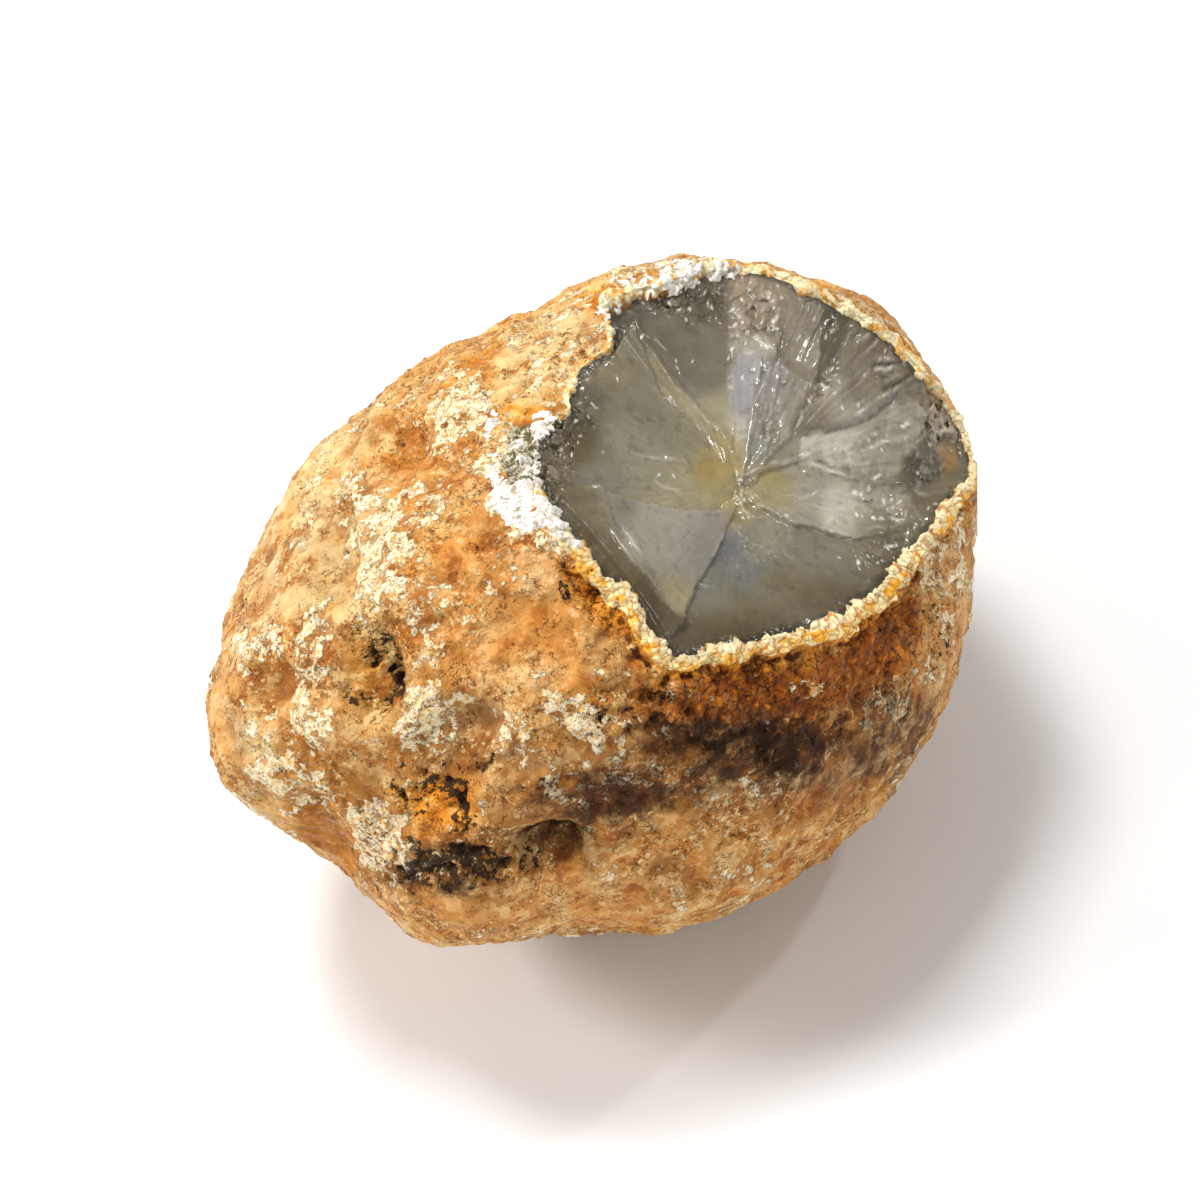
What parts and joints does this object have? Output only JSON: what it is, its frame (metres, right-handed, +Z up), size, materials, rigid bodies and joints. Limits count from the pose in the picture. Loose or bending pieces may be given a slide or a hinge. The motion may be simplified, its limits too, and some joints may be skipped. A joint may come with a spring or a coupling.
{
  "type": "rough agate nodule",
  "caption": "Rough agate nodule with a weathered tan rind, its upper end broken off obliquely to show grey translucent chalcedony. Rests on a small flat spot.",
  "frame": {"origin": "on the plane the stone rests on, under the middle of its bounding box", "axes": "+Z up from the flat spot; the stone's long axis is horizontal, 52 degrees from +X towards +Y; the broken face looks up and towards +X, -Y"},
  "size_m": [0.0738, 0.0766, 0.0618],
  "materials": {
    "stone": "matte"
  },
  "bodies": {
    "root": {"agate_nodule": "stone"}
  },
  "joints": []
}
